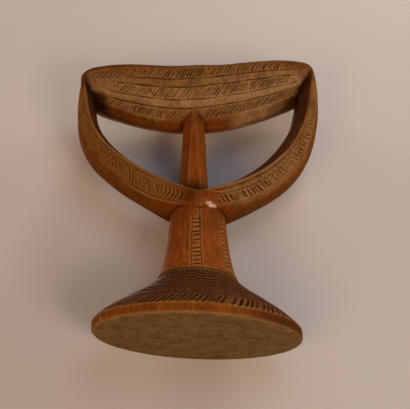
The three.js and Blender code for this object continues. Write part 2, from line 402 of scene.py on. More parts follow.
@dataclass
class Foot:
    """The oval foot and the waisted stem, with two hatched bands and four ladders."""

    height: Floats = (0, 1.2, 5, 8.6, 12.3, 19, 25, 31.5, 38, 52, 66, 84)
    half_width: Floats = (55.8, 57, 57, 54.2, 49.7, 39.8, 30.4, 23.4, 21, 18.3, 17, 15.5)
    half_depth: Floats = (34, 35.2, 35.3, 34, 32, 28, 23.8, 20.4, 18.9, 17.4, 16.8, 14.5)
    sides: int = 200
    rings: int = 110
    reach: float = 1.6
    carved_to: float = 78
    lower_band: Pair = (5.4, 11.9)
    upper_band: Pair = (19.6, 31.4)
    bold_turns: Pair = (-84, -12)
    line_width: float = 0.9
    collar: float = 32.4
    ladder: Pair = (33.3, 68)
    ladder_foot: float = 2.85
    ladder_head: float = 2.25
    ladder_offset: float = -1.6
    ladder_turns: Floats = (-90, -33, 90, 147)
    upright_width: float = 0.95
    row_length: float = 17
    row_stagger: float = 1.2

    def __post_init__(self) -> None:
        """Draws the curves of the two half widths over the height."""
        self.wide = Curve(self.height, self.half_width)
        self.deep = Curve(self.height, self.half_depth)

    def build(self) -> Body:
        """Builds the foot and stem.

        Returns:
            Their vertices and faces, as one closed body.
        """
        turns = np.arange(self.sides) / self.sides * math.tau
        heights = np.unique(np.r_[np.linspace(0, self.height[-1], self.rings), self.height])
        z = np.broadcast_to(heights[:, None], (len(heights), self.sides))
        x = self.wide(z) * np.cos(turns)
        y = self.deep(z) * np.sin(turns)
        return loft(np.stack([x, y, z], -1))

    def places(self, points: Array) -> tuple[Array, Array, Array]:
        """Where points lie on the foot.

        Args:
            points: Points, one a row.

        Returns:
            Their angles from +X, their heights, and a mask of those on its surface.
        """
        x, y, z = points.T
        wide, deep = self.wide(z), self.deep(z)
        angle = np.arctan2(y / deep, x / wide)
        reach = np.hypot(x / wide, y / deep)
        near = np.abs(reach - 1) * np.minimum(wide, deep) < self.reach
        return angle, z, near & (z < self.carved_to)

    def around(self, angle: Array, height: float) -> Array:
        """Measures the way round the oval.

        Args:
            angle: Angles from +X.
            height: The oval's height.

        Returns:
            The way to each angle, in millimetres.
        """
        turns = np.linspace(-math.pi, math.pi, 721)
        x, y = self.wide(height) * np.cos(turns), self.deep(height) * np.sin(turns)
        steps = np.linalg.norm(np.diff(np.column_stack([x, y]), axis=0), axis=1)
        return np.interp(angle, turns, np.r_[0, np.cumsum(steps)])

    def carve(self, points: Array) -> Carving:
        """Cuts the bands, the collar line and the ladders.

        Args:
            points: The skin's points.

        Returns:
            The carving at each.
        """
        angle, z, on = self.places(points)
        total, worked = np.zeros((2, len(points)))
        for band in self.bands():
            here = on & (z > band.low) & (z < band.high)
            way = self.around(angle[here], (band.low + band.high) / 2)
            total[here] += band.cut(way, z[here])
            worked[here] = np.maximum(worked[here], band.cover(way, z[here]))
        # Rows of short strokes run round between the bands, every other row set higher.
        low, high = self.upper_band
        rows = Strokes(0, 1, low - 3, high, 2.3, -1.7, 1.8, 1.0, 14, 0.5, 0.1, 0.7, 0.3)
        row = self.around(angle, (low + high) / 2) / self.row_length
        total += on * rows.cut(z + self.row_stagger * (np.floor(row) % 2), row % 1)
        # A line under the rows, one over the rim's band, and the collar's groove with its bead.
        total += on * 0.35 * valley(z - low + 3.4, self.line_width)
        total += on * 0.3 * valley(z - self.lower_band[1] - 0.3, self.line_width)
        groove, bead = valley(z - self.collar, 1.0), valley(z - self.collar - 1.1, 1.2)
        collar = on * (0.5 * groove - 0.25 * bead)
        for turn in self.ladder_turns:
            total += on * self.rungs(angle, z, math.radians(turn), int(turn) + 200)
        cut = total + np.clip(collar, 0, None)
        return Carving(-(total + collar), cut, worked, np.zeros(len(points)))

    def bands(self) -> list[Strokes]:
        """Lays out the hatching, which is cut deepest at the right front.

        Returns:
            The bands from the rim up, each in three stretches round the foot.
        """
        made = []
        for low, high, pitch, lean, width, depth, bold, seed in (
            (*self.lower_band, 3.2, 5.5, 2.4, 0.95, 1.3, 11),
            (self.upper_band[1] - 2.6, self.upper_band[1] + 0.2, 3.0, -2.2, 1.9, 0.3, 1.1, 13),
        ):
            middle = (low + high) / 2
            length = float(self.around(np.array(math.pi), middle))
            pitch = length / round(length / pitch)
            front = self.around(np.radians(np.array(self.bold_turns)), middle)
            made += [
                Strokes(low, high, -pitch, front[0], pitch, lean, width, depth, seed, worn=0.7),
                Strokes(low, high, *front, pitch, lean, width, bold, seed + 10, worn=0.1),
                Strokes(low, high, front[1], length + pitch, pitch, lean, width, depth, seed + 20),
            ]
        return made

    def rungs(self, angle: Array, z: Array, turn: float, seed: int) -> Array:
        """One ladder: two upright lines and the uneven rungs between them.

        Args:
            angle: Angles from +X.
            z: Heights.
            turn: The angle that the ladder faces.
            seed: Which ladder.

        Returns:
            Depths in millimetres.
        """
        low, high = self.ladder
        aside = (angle - turn + math.pi) % math.tau - math.pi
        across = aside * self.wide(z) - self.ladder_offset - 0.2 * ripple(z, 30, seed)
        half = mix(self.ladder_foot, self.ladder_head, smooth(z, low, high))
        left, right = (valley(across + side * half, self.upright_width) for side in (1, -1))
        lines = np.maximum(right, 0.8 * left)
        rung = Strokes(-1.15, 1.15, low, high, 2.75, 0.6, 1.4, 0.85, seed, 0.4, 0.02, 0, 0.15)
        return span(z, low, high, 0, 1) * np.maximum(0.75 * lines, rung.cut(z, across / half))


class Arm(Enum):
    """The crescent's two arms, by the sign of their angle."""

    LEFT = -1
    RIGHT = 1


@dataclass
class Crescent:
    """The crescent, its slanted front carved differently on each arm."""

    centre: float = 165
    aside: float = 0.7
    angle: Floats = (0, 25, 55, 80, 95.5)
    outer: Floats = (95, 87.8, 84.1, 78.2, 75.2)
    arris: Floats = (91.5, 85.8, 81.2, 76.7, 74.3)
    inner: Floats = (81.5, 76.8, 74, 71.4, 73.2)
    inner_depth: Floats = (18, 18, 18, 18.3, 18.8)
    arris_depth: Floats = (17.2, 8.5, 9, 14.5, 17.8)
    bevel: Floats = (1, 3.2, 5.2, 4.8, 2.4)
    bevel_depth: float = 3.5
    bevel_bias: float = 0.3
    crown: float = 1.8
    steps: int = 360
    reach: float = 1.2
    margin: float = 0.1
    front_radius: float = 80
    zigzag: float = 0.05
    zigzag_length: float = 4.2
    # A row of hatching is low, high, left, right, pitch, lean, width, depth, seed, unevenness,
    # missing, bend and worn. The zigzag line of the right arm has a panel of its own.
    right_arm: Panel = Panel(
        (Ridge(0.93, 1.05, 6, 60, 0.35, 0.03),),
        (Groove(0.86, 6, 100, 1.3, 0.7, 3), Groove(0.0, 10, 76, 1.0, 0.5, 5)),
        hatching(
            (0.02, 0.56, 9, 20, 2.6, -2.8, 2.2, 1.2, 20, 0.3, 0.0, 0, 0.0),
            (0.08, 0.56, 18, 46, 2.4, -3.0, 2.0, 0.9, 21, 0.4, 0.0, 0, 0.1),
            (0.1, 0.62, 44, 100, 2.6, -3.4, 1.8, 0.6, 24, 0.5, 0.08, 1, 0.4),
            (0.62, 0.94, 36, 98, 2.1, 1.6, 1.3, 0.5, 25, 0.5, 0.15),
        ),
    )
    right_line: Panel = Panel(
        (Ridge(0.66, 0.75, 5, 94, 0.6),), (Groove(0.6, 7, 92, 1.3, 0.6, 4),)
    )
    left_arm: Panel = Panel(
        (Ridge(0.9, 1.05, 10, 124, 0.45, 0.03), Ridge(-0.1, 0.0, 12, 44, 0.5)),
        (
            Groove(0.86, 6, 108, 1.2, 0.6, 6),
            Groove(0.07, 7, 42, 1.1, 0.65, 8),
            Groove(0.62, 16, 46, 1.0, 0.4, 9),
        ),
        hatching(
            (0.08, 0.84, 7, 22, 2.2, -1.5, 1.8, 0.7, 22, 0.4, 0.0, 2.4, 0.1),
            (0.1, 0.84, 20, 64, 2.3, 5.0, 1.7, 0.5, 26, 0.5, 0.1, 1, 0.3),
            (0.1, 0.84, 34, 96, 3.3, -4.4, 1.5, 0.4, 23, 0.5, 0.15),
            (0.12, 0.8, 64, 104, 2.6, 3.2, 1.3, 0.5, 27, 0.5, 0.15),
        ),
    )

    def __post_init__(self) -> None:
        """Draws each size as a curve over the angle from straight down."""
        names = ("outer", "arris", "inner", "inner_depth", "arris_depth", "bevel")
        self.at = {name: Curve(self.angle, getattr(self, name)) for name in names}

    def section(self, angle: float) -> Array:
        """Draws the crescent's closed section.

        Args:
            angle: The signed angle from straight down, in degrees.

        Returns:
            The section's points, by radius and depth.
        """
        here = {name: float(curve(abs(angle))) for name, curve in self.at.items()}
        outer, arris, inner = here["outer"], here["arris"], here["inner"]
        deep, shallow = here["inner_depth"], here["arris_depth"]
        crest = inner - here["bevel"] * (1 + self.bevel_bias * np.sign(angle))
        crown = crest - self.crown
        corners = np.array(
            [
                [outer, 0],
                [mix(outer, arris, 0.2), shallow * 0.6],
                [arris, shallow],
                [mix(arris, inner, 0.5), mix(shallow, deep, 0.5)],
                [inner, deep],
                [crest, deep - self.bevel_depth],
                [mix(crown, crest, 0.3), (deep - self.bevel_depth) * 0.6],
                [crown, 0],
            ]
        )
        return mirrored(corners)

    def build(self) -> Body:
        """Builds the crescent.

        Returns:
            Its vertices and faces, as one closed body.
        """
        tip = self.angle[-1]
        sections = []
        for angle in np.linspace(-tip, tip, self.steps):
            radius, deep = self.section(angle).T
            turn = math.radians(angle)
            x = self.aside + radius * math.sin(turn)
            z = self.centre - radius * math.cos(turn)
            sections.append(np.column_stack([x, deep, z]))
        return loft(np.array(sections))

    def places(self, points: Array) -> tuple[Array, ...]:
        """Where points lie on the slanted front.

        Args:
            points: Points, one a row.

        Returns:
            Their signed angles in degrees, their shares of the way from the lower arris to the
            inner edge, the front's height there in millimetres, and a mask of those on it.
        """
        x, y, z = points.T
        across, down = x - self.aside, self.centre - z
        angle, radius = np.degrees(np.arctan2(across, down)), np.hypot(across, down)
        at = np.abs(angle)
        low = np.stack([self.at["arris"](at), self.at["arris_depth"](at)])
        high = np.stack([self.at["inner"](at), self.at["inner_depth"](at)])
        share, height, off = on_slope(np.stack([radius, -y]), low, high)
        on = (np.abs(off) < self.reach) & (at < self.angle[-1]) & (y < 0)
        on &= (share > -self.margin) & (share < 1 + self.margin)
        return angle, share, height, on

    def carve(self, points: Array) -> Carving:
        """Cuts each arm's front.

        Args:
            points: The skin's points.

        Returns:
            The carving at each.
        """
        angle, share, height, on = self.places(points)
        along = np.radians(angle) * self.front_radius
        lift, cut, worked = np.zeros((3, len(points)))
        for arm in Arm:
            here = on & (np.sign(angle) == arm.value)
            rise, depth = self.front(arm, along[here] * arm.value, share[here], height[here])
            lift[here], cut[here] = rise - depth, depth
            worked[here] = span(share[here], 0, 0.95, 0.1)
        # The bands stop short of the middle, and the left arm's are rubbed darker.
        worked *= smooth(np.abs(along), 6, 9) * np.where(along < 0, 0.6, 1)
        # Painted highlight: the right arm's front is painted lighter.
        pale = on * smooth(angle, -5, 25) * smooth(angle, 70, 40)
        return Carving(lift, cut, worked, 0.3 * pale)

    def front(self, arm: Arm, out: Array, share: Array, height: Array) -> Cuts:
        """One arm's front, measured outwards from the middle.

        Args:
            arm: Which arm.
            out: Places out along the arm, in millimetres.
            share: Shares of the way up the front.
            height: The front's height, in millimetres.

        Returns:
            How far the ridges rise and how deep the cuts go.
        """
        if arm is Arm.LEFT:
            return self.left_arm.carve(out, share, height)
        rise, depth = self.right_arm.carve(out, share, height)
        wave = np.abs((out / self.zigzag_length) % 1 - 0.5) * 4 - 1
        zigzag, drop = self.zigzag * wave * smooth(out, 20, 40), 0.2 * smooth(out, 12, 4)
        line, beside = self.right_line.carve(out, share + zigzag - drop, height)
        return rise + line, np.maximum(depth, beside)


@dataclass
class Platform:
    """The boat-shaped platform, its slanted sides carved with ridges and hatched bands."""

    half: float = 75
    corner: float = 9
    corner_share: float = 0.12
    corner_drop: float = 4.4
    middle_depth: float = 29.5
    end_depth: float = 19
    top: float = 170.8
    top_rise: float = 7.4
    dip_half: float = 8
    crest: float = 64
    keel: float = 140.6
    keel_rise: float = 20.5
    keel_reach: float = 66
    keel_half: float = 6.5
    keel_edge: float = 1.8
    lip: float = 3
    bulge: float = 2.2
    dish: float = 1.5
    end_thickness: float = 5
    steps: int = 260
    strips: int = 40
    reach: float = 1.5
    margin: float = 0.03
    drift_at: Floats = (-75, -45, -25, 0, 22, 45, 75)
    drift_share: Floats = (-0.01, -0.02, -0.02, 0, 0.03, 0.02, -0.02)
    ridges: tuple[Ridge, ...] = (
        Ridge(0.25, 0.39, -68, 66, 0.75),
        Ridge(0.645, 0.765, -50, 62, 0.8),
    )
    grooves: tuple[Groove, ...] = (
        Groove(0.785, -47, 60, 1.4, 0.8, 41),
        Groove(0.635, -54, 62, 1.4, 0.9, 42),
        Groove(0.4, -60, 66, 1.3, 0.8, 43),
        Groove(0.24, -58, 68, 1.4, 0.9, 44),
    )
    # The front is hatched band by band from the lip down, and the unseen back is plainer. A row is
    # low, high, left, right, pitch, lean, width, depth, seed, unevenness, missing, bend and worn.
    front_bands: tuple[Strokes, ...] = hatching(
        (0.68, 0.96, -69, -50, 2.1, 4.6, 1.7, 0.8, 31, 0.4, 0.05, 0, 0.1),
        (0.8, 0.98, -52, -14, 2.3, 4.2, 1.7, 0.7, 32, 0.6, 0.12, 0, 0.4),
        (0.79, 0.99, -16, 4, 2.1, 4.4, 1.8, 1.1, 33, 0.3, 0.0, 0, 0.0),
        (0.79, 0.98, 4, 22, 2.2, 4.2, 1.8, 0.9, 34, 0.4, 0.0, 0, 0.2),
        (0.79, 0.98, 20, 54, 2.4, 3.8, 1.8, 0.85, 35, 0.6, 0.05, 1.6, 0.2),
        (0.79, 0.98, 24, 48, 3.6, -4.5, 1.5, 0.6, 50, 0.6, 0.2, 0, 0.3),
        (0.41, 0.62, -54, -32, 2.2, 5.4, 1.7, 0.8, 36, 0.5, 0.05, 0, 0.2),
        (0.41, 0.62, -32, -14, 2.4, -4.2, 1.6, 0.75, 37, 0.5, 0.1, 1.4, 0.2),
        (0.41, 0.63, -35, 6, 2.4, 5.6, 1.6, 0.7, 38, 0.6, 0.1, 0, 0.3),
        (0.41, 0.63, 4, 32, 2.1, 6.0, 1.8, 1.05, 39, 0.35, 0.0, 0, 0.1),
        (0.42, 0.63, 31, 59, 2.2, 5.6, 1.8, 1.1, 45, 0.3, 0.0, 0, 0.0),
        (0.02, 0.22, -64, -42, 2.6, 6.0, 1.7, 0.6, 46, 0.5, 0.1, 0, 0.3),
        (0.0, 0.22, -44, -22, 2.0, 3.0, 1.6, 0.9, 47, 0.3, 0.0, 3.4, 0.0),
        (0.02, 0.22, -22, -6, 2.4, 5.6, 1.6, 0.65, 48, 0.5, 0.05, 0, 0.2),
        (0.01, 0.23, 3, 68, 2.1, 7.0, 1.8, 1.1, 49, 0.3, 0.0, 0, 0.05),
    )
    back_bands: tuple[Strokes, ...] = hatching(
        (0.79, 0.96, -62, 62, 3.4, 3.6, 1.6, 0.7, 51, 0.4, 0.08),
        (0.43, 0.61, -54, 52, 3.8, 4.2, 1.6, 0.7, 52, 0.4, 0.08),
    )

    def round_off(self, x: Array) -> Array:
        """How far a place near an end has come round its corner, 0 before it and 1 at the end."""
        into = np.clip((np.abs(x) - (self.half - self.corner)) / self.corner, 0, 1)
        return 1 - np.sqrt(1 - into**2)

    def half_depth(self, x: Array) -> Array:
        """Half the platform's depth at x."""
        plan = mix(self.middle_depth, self.end_depth, (x / self.half) ** 2)
        return plan * (1 - self.corner_share * self.round_off(x))

    def top_at(self, x: Array) -> Array:
        """The height of the top's rim at x."""
        swell = smooth(np.abs(x), self.dip_half, self.crest)
        return self.top + self.top_rise * swell - self.corner_drop * self.round_off(x)

    def keel_at(self, x: Array) -> Array:
        """The height of the keel at x."""
        rising = self.keel + self.keel_rise * (x / self.keel_reach) ** 2
        return np.minimum(rising, self.top_at(x) - self.end_thickness)

    def edges(self, x: Array) -> tuple[Array, Array]:
        """Finds where the slanted sides start and end.

        Args:
            x: Places along the platform.

        Returns:
            The keel's edge and the lip at each, as a half depth and a height.
        """
        low = np.stack([np.full_like(x, self.keel_half), self.keel_at(x) + self.keel_edge])
        high = np.stack([self.half_depth(x), self.top_at(x) - self.lip])
        return low, high

    def section(self, x: float) -> Array:
        """Draws the platform's closed section.

        Args:
            x: The place along the platform.

        Returns:
            The section's points, by height and depth.
        """
        at = np.array([x])
        low, high = (edge[:, 0] for edge in self.edges(at))
        share = np.linspace(0, 1, self.strips)
        swell = self.bulge * np.sin(math.pi * share) * math.sqrt(0.5)
        deep, height = mix(low[0], high[0], share) + swell, mix(low[1], high[1], share) - swell
        side = np.column_stack([height, deep])
        rim, reach = float(self.top_at(at)[0]), float(self.half_depth(at)[0])
        drops, reaches = np.array([0.1, 0.35, 0.6, 0.85, 1]), np.array([0.93, 0.8, 0.6, 0.3, 0])
        bowl = np.column_stack([rim - self.dish * drops, reach * reaches])
        return mirrored(np.concatenate([[[float(self.keel_at(at)[0]), 0]], side, bowl]))

    def build(self) -> Body:
        """Builds the platform.

        Returns:
            Its vertices and faces, as one closed body.
        """
        turns = (np.linspace(0, 1, self.steps) - 0.5) * math.pi
        sections = []
        for x in self.half * np.sin(turns):
            height, deep = self.section(float(x)).T
            sections.append(np.column_stack([np.full_like(deep, x), deep, height]))
        return loft(np.array(sections))

    def places(self, points: Array) -> tuple[Array, ...]:
        """Where points lie on the slanted sides.

        Args:
            points: Points, one a row.

        Returns:
            How far they are to the right as seen from their side, their shares of the way from the
            keel to the lip, the side's height there in millimetres, and a mask of those on it.
        """
        x, y, z = points.T
        share, height, off = on_slope(np.stack([np.abs(y), z]), *self.edges(x))
        off = off - self.bulge * np.sin(math.pi * np.clip(share, 0, 1))
        on = (np.abs(off) < self.reach) & (np.abs(x) < self.half - 1)
        on &= (share > -self.margin) & (share < 1 + self.margin)
        along = -np.sign(y) * x
        # The hand let the bands rise and fall along a side.
        return along, share - Curve(self.drift_at, self.drift_share)(along), height, on

    def carve(self, points: Array) -> Carving:
        """Raises the ridges and cuts the grooves and bands.

        Args:
            points: The skin's points.

        Returns:
            The carving at each.
        """
        along, share, height, on = self.places(points)
        back = points[:, 1] > 0
        lift, cut, worked = np.zeros((3, len(points)))
        for here, panel in (
            (on & ~back, Panel(self.ridges, self.grooves, self.front_bands)),
            (on & back, Panel(self.ridges, self.grooves[1:3], self.back_bands)),
        ):
            a, s = along[here], share[here]
            rise, cut[here] = panel.carve(a, s, height[here])
            lift[here] = rise - cut[here]
            worked[here] = np.maximum.reduce([band.cover(a, s) for band in panel.bands])
        # Painted light: the sides are painted lighter as if lit from the lower right, most of all
        # to the right, on the lower ridge and on the keel's right half beyond the post.
        x, y, z = points.T
        tone = on * mix(0.75, 1, smooth(along, -45, 25)) * smooth(share, 1.0, 0.45)
        tone *= mix(0.55, 1, smooth(share, 0.05, 0.35))
        ridge = span(share, 0.22, 0.42, 0.05) * on
        keel = (np.abs(y) < 8) & (z > 137) & (z < self.keel_at(x) + 3) & (np.abs(x + 2.6) > 8)
        tone = np.maximum(tone, 0.85 * keel * smooth(x, 0, 30) * smooth(x, 66, 46))
        return Carving(lift, cut, worked * (1 - ridge), tone * (1 + 0.15 * ridge))


@dataclass
class Post:
    """The eight-sided post, whose front comes to a point under the platform."""

    foot: float = 82
    head: float = 154
    half_width: Pair = (9.2, 6.1)
    half_depth: Pair = (11, 9.3)
    aside: float = -2.6
    forward: float = 1.6
    facet_foot: float = 0.5
    facet_head: float = 0.12
    facet_side: float = 0.45
    steps: int = 60

    def section(self, t: float) -> Array:
        """Draws the post's closed section.

        Args:
            t: The share of the way up.

        Returns:
            Its eight corners.
        """
        near, wide = mix(self.facet_foot, self.facet_head, t), self.facet_side
        right = np.array([[near, -1], [1, -wide], [1, wide], [near, 1]])
        x, y = np.concatenate([right, -right]).T
        x = self.aside + x * mix(*self.half_width, t)
        y = y * mix(*self.half_depth, t) - self.forward
        return np.column_stack([x, y, np.full(8, mix(self.foot, self.head, t))])

    def build(self) -> Body:
        """The post as a closed body."""
        return loft(np.array([self.section(t) for t in np.linspace(0, 1, self.steps)]))

    def carve(self, points: Array) -> Carving:
        """Leaves the post plain: nothing is cut in it."""
        return Carving(*np.zeros((4, len(points))))


@dataclass(frozen=True)
class Noise:
    """A smooth random field over space, from about -1 to 1."""

    size: float
    seed: int
    stretch: Triple = (1, 1, 1)
    cells: int = 32

    def __call__(self, points: Array) -> Array:
        """Reads the field.

        Args:
            points: Points, one a row, in millimetres.

        Returns:
            The field's value at each.
        """
        lattice = np.random.default_rng(self.seed).uniform(-1, 1, (self.cells,) * 3)
        at = points / (self.size * np.array(self.stretch)) + self.cells
        low = np.floor(at).astype(int)
        part = at - low
        part = part * part * (3 - 2 * part)
        total = np.zeros(len(points))
        for corner in np.ndindex(2, 2, 2):
            share = np.prod(np.where(corner, part, 1 - part), axis=1)
            total += share * lattice[tuple(((low + corner) % self.cells).T)]
        return total


@dataclass(frozen=True)
class Flake:
    """A place where the wood has flaked off and shows pale."""

    centre: Triple
    half: Triple
    depth: float
    bare: float
    seed: int
    raggedness: float = 0.45
    splinter: float = 1.4

    def share(self, points: Array) -> Array:
        """Finds how far inside the flake's ragged edge points are.

        Args:
            points: Points, one a row.

        Returns:
            A number from 0 outside to 1 inside for each.
        """
        away = np.abs(points - np.array(self.centre)) / np.array(self.half)
        ragged = self.raggedness * Noise(self.splinter, self.seed)(points)
        return smooth(away.max(axis=1) + 0.25 * away.min(axis=1) + ragged, 1.1, 0.95)


@dataclass(frozen=True)
class Crack:
    """A hairline crack down the front, through places across and up."""

    across: Floats
    up: Floats
    width: float
    depth: float
    seed: int
    waver: float = 0.15
    waver_length: float = 7
    run_out: float = 4

    def cut(self, points: Array) -> Array:
        """How deep the crack goes.

        Args:
            points: Points, one a row.

        Returns:
            Depths in millimetres.
        """
        x, y, z = points.T
        line = Curve(self.up, self.across)(z) + self.waver * ripple(z, self.waver_length, self.seed)
        ends = span(z, self.up[0], self.up[-1], self.run_out)
        return self.depth * ends * (y < 0) * valley(x - line, self.width)


def place(name: str, data: Any) -> bpy.types.Object:
    """Puts a new object in the scene.

    Args:
        name: Its name.
        data: Its mesh, lamp or camera.

    Returns:
        The object.
    """
    placed = bpy.data.objects.new(name, data)
    bpy.context.scene.collection.objects.link(placed)
    return placed


@dataclass
class Skin:
    """The block's skin: its forms melted into one, worn round, and then cut with a chisel."""

    voxel: float = 0.4
    melting: int = 4
    faces: int = 190_000
    fine_rounds: int = 6
    broad_rounds: int = 100
    hand: Hand = Hand()
    flakes: tuple[Flake, ...] = (
        Flake((6.3, -15.8, 75.8), (1.8, 3.0, 0.9), 0.8, 1, 61),
        Flake((8.3, -14.7, 74.9), (2.1, 3.0, 0.9), 0.9, 1, 69),
        Flake((-64.5, -14.5, 173), (1.6, 3, 1.4), 0.4, 0.3, 62),
        Flake((-53, -18, 3), (2, 3, 1.3), 0.5, 0.35, 63),
        Flake((12, 29, 172), (2.6, 2, 1.3), 0.5, 0.15, 64),
        Flake((40, 20, 11), (2, 3, 1.6), 0.4, 0.12, 65),
    )
    cracks: tuple[Crack, ...] = (
        Crack((0.8, 0.5, 0.5, -1.2, -1.8), (56, 61, 73, 78, 86), 0.8, 0.6, 66),
        Crack((-7.6, -7.2, -7.4), (36, 50, 66), 0.6, 0.3, 67),
        Crack((9.5, 9.9, 9.2), (0, 6, 26), 0.6, 0.35, 68),
    )
    # Corners where the parts meet, darkened with painted shade.
    painted_shade_corners: tuple[Triple, ...] = ((-65.8, -4, 161.4), (62.7, -12.6, 148), (-2.6, -10, 84))
    crescent_centre: Pair = (0.7, 165)

    def build(self, forms: list[Form]) -> bpy.types.Object:
        """Makes the whole skin.

        Args:
            forms: The sub-assemblies.

        Returns:
            The piece, in metres, with what the chisel and the years did as attributes.
        """
        mesh = self.melt(forms)
        points, _, edges = self.read(mesh)
        self.move(mesh, self.soften(points, edges, self.melting))
        points, normals, edges = self.read(mesh)
        carvings = [form.carve(points) for form in forms]
        lift, depth, worked, tone = (
            sum(getattr(carving, name) for carving in carvings)
            for name in ("lift", "cut", "worked", "tone")
        )
        for crack in self.cracks:
            cut = crack.cut(points)
            depth, lift = np.maximum(depth, cut), lift - cut
        flaked = np.zeros(len(points))
        for flake in self.flakes:
            share = flake.share(points)
            flaked = np.maximum(flaked, flake.bare * share)
            lift -= flake.depth * share * (1 + 0.4 * Noise(0.9, flake.seed + 20)(points))
        lift += self.hand_marks(points, normals)
        carved = points + normals * lift[:, None]
        carved[:, 2] = np.maximum(carved[:, 2], 0)
        self.move(mesh, carved)
        fine, broad = (
            ((carved - self.soften(carved, edges, rounds)) * normals).sum(1)
            for rounds in (self.fine_rounds, self.broad_rounds)
        )
        # Raised edges and the foot's lower edge are painted lighter: rubbed wear and a painted
        # highlight.
        rim = smooth(carved[:, 2], 1.5, 0.6) * smooth(-normals[:, 2], 0.95, 0.7)
        notes = {
            "cut": depth,
            "flake": flaked,
            "worked": np.clip(worked, 0, 1),
            # Painted light: where the wood is painted lighter as if lit.
            "tone": tone,
            "wear_and_highlight": np.maximum(fine, 0.2 * rim),
            # Painted shade: broad hollows, found by smoothing, are painted darker.
            "painted_occlusion": -broad,
        }
        for name, values in (notes | self.zones(points, normals)).items():
            mesh.attributes.new(name, "FLOAT", "POINT").data.foreach_set("value", values)
        return self.finish(mesh)

    def melt(self, forms: list[Form]) -> bpy.types.Mesh:
        """Melts the forms' closed bodies into one even skin.

        Args:
            forms: The sub-assemblies.

        Returns:
            The skin, in millimetres.
        """
        vertices, faces = [], []
        for form in forms:
            own, ring = form.build()
            start = len(vertices)
            vertices += own.tolist()
            faces += [[start + corner for corner in face] for face in ring]
        rough = bpy.data.meshes.new("rough")
        rough.from_pydata(vertices, [], faces)
        block = place("rough", rough)
        remesh = block.modifiers.new("melt", "REMESH")
        remesh.mode, remesh.voxel_size = "VOXEL", self.voxel
        return self.settle(block)

    def settle(self, block: bpy.types.Object) -> bpy.types.Mesh:
        """Turns an object into its mesh as its modifiers leave it.

        Args:
            block: The object, which goes.

        Returns:
            The mesh.
        """
        seen = block.evaluated_get(bpy.context.evaluated_depsgraph_get())
        mesh = bpy.data.meshes.new_from_object(seen)
        rough = block.data
        bpy.data.objects.remove(block)
        bpy.data.meshes.remove(rough)
        return mesh

    def move(self, mesh: bpy.types.Mesh, points: Array) -> None:
        """Sets where a mesh's points are."""
        mesh.vertices.foreach_set("co", points.ravel())
        mesh.update()

    def read(self, mesh: bpy.types.Mesh) -> tuple[Array, Array, Array]:
        """Reads a mesh.

        Args:
            mesh: The mesh.

        Returns:
            Its points, their normals, and its edges.
        """
        count = len(mesh.vertices)
        points, normals = np.empty(count * 3), np.empty(count * 3)
        edges = np.empty(len(mesh.edges) * 2, int)
        mesh.vertices.foreach_get("co", points)
        mesh.vertex_normals.foreach_get("vector", normals)
        mesh.edges.foreach_get("vertices", edges)
        return points.reshape(-1, 3), normals.reshape(-1, 3), edges.reshape(-1, 2)

    def soften(self, points: Array, edges: Array, rounds: int) -> Array:
        """Moves each point halfway to the middle of its neighbours.

        Args:
            points: The points, one a row.
            edges: Which points are joined.
            rounds: How often.

        Returns:
            The moved points.
        """
        ends = np.concatenate([edges, edges[:, ::-1]])
        count = np.bincount(ends[:, 0], minlength=len(points))[:, None]
        for _ in range(rounds):
            near = points[ends[:, 1]].T
            total = [np.bincount(ends[:, 0], axis, len(points)) for axis in near]
            points = mix(points, np.stack(total, 1) / np.maximum(count, 1), 0.5)
        return points

    def hand_marks(self, points: Array, normals: Array) -> Array:
        """Makes the slight waves that the knife left, and the streaks of the sawn underside.

        Args:
            points: The skin's points.
            normals: Their normals.

        Returns:
            How far each point is lifted, in millimetres.
        """
        under = smooth(-normals[:, 2], 0.7, 0.95) * (points[:, 2] < 1)
        # The knife's waves are 9 and 3 mm long, and the saw ran across the underside.
        waves = 0.13 * Noise(9, 71)(points) + 0.07 * Noise(3.2, 72, (1, 1, 2.4))(points) - 0.07
        streaks = Noise(1.5, 73, (14, 1, 1))(points) + 0.6 * Noise(0.8, 74, (26, 1, 1))(points)
        return mix(waves, -0.12 * np.abs(streaks) - 0.02, under)

    def zones(self, points: Array, normals: Array) -> dict[str, Array]:
        """Finds where hands polished the wood, where smoke darkened it, and the bare underside.

        Args:
            points: The skin's points.
            normals: Their normals.

        Returns:
            The zones by name, each 1 inside and 0 outside. The smoke zone also holds painted shade.
        """
        x, y, z = points.T
        depth = np.abs(y)
        across, up = x - self.crescent_centre[0], z - self.crescent_centre[1]
        radius = np.hypot(across, up)
        inward = -(normals[:, 0] * across + normals[:, 2] * up) / np.maximum(radius, 1)
        drift = 0.15 * Noise(17, 81)(points)
        # Hands wore the stem and the post, the foot's rim and a little of the dish.
        stem = smooth(np.hypot(x, y), 26, 19) * span(z, 30, 150, 8)
        rim = smooth(z, 6.2, 5.0) * smooth(z, 0.0, 0.6)
        dish = smooth(normals[:, 2], 0.5, 0.9) * smooth(z, 160, 166)
        handled = np.clip(np.maximum.reduce([stem, 0.5 * rim, 0.4 * dish]) + drift, 0, 1)
        # Darker on the foot's flank and a little of the dish. Painted shade lies on the rim towards
        # the right, inside the crescent and in the corners where the parts meet; the lip gets
        # grease and painted shade.
        flank = smooth(z, 5.5, 7) * smooth(z, 34, 30)
        shaded = 0.75 * rim * smooth(x, 8, 40)
        lip = 0.8 * smooth(z, 160, 166) * smooth(depth, 12, 20) * smooth(-normals[:, 2], 0.45, 0.2)
        inner = smooth(inward, 0.15, 0.4) * (radius > 58) * smooth(depth, 20, 17) * (z < 168)
        smoke_and_painted_shade = np.maximum.reduce([flank, shaded, lip, inner, 0.35 * dish])
        # Painted shade in the corners where the parts meet.
        for corner in self.painted_shade_corners:
            smoke_and_painted_shade = np.maximum(smoke_and_painted_shade, smooth(np.linalg.norm(points - corner, axis=1), 13, 5))
        under = smooth(-normals[:, 2], 0.6, 0.9) * (z < 1.2)
        return {
            "handled": handled * (1 - under),
            "smoke_and_painted_shade": np.clip(smoke_and_painted_shade + drift, 0, 1) * (1 - under),
            "underside": under,
        }

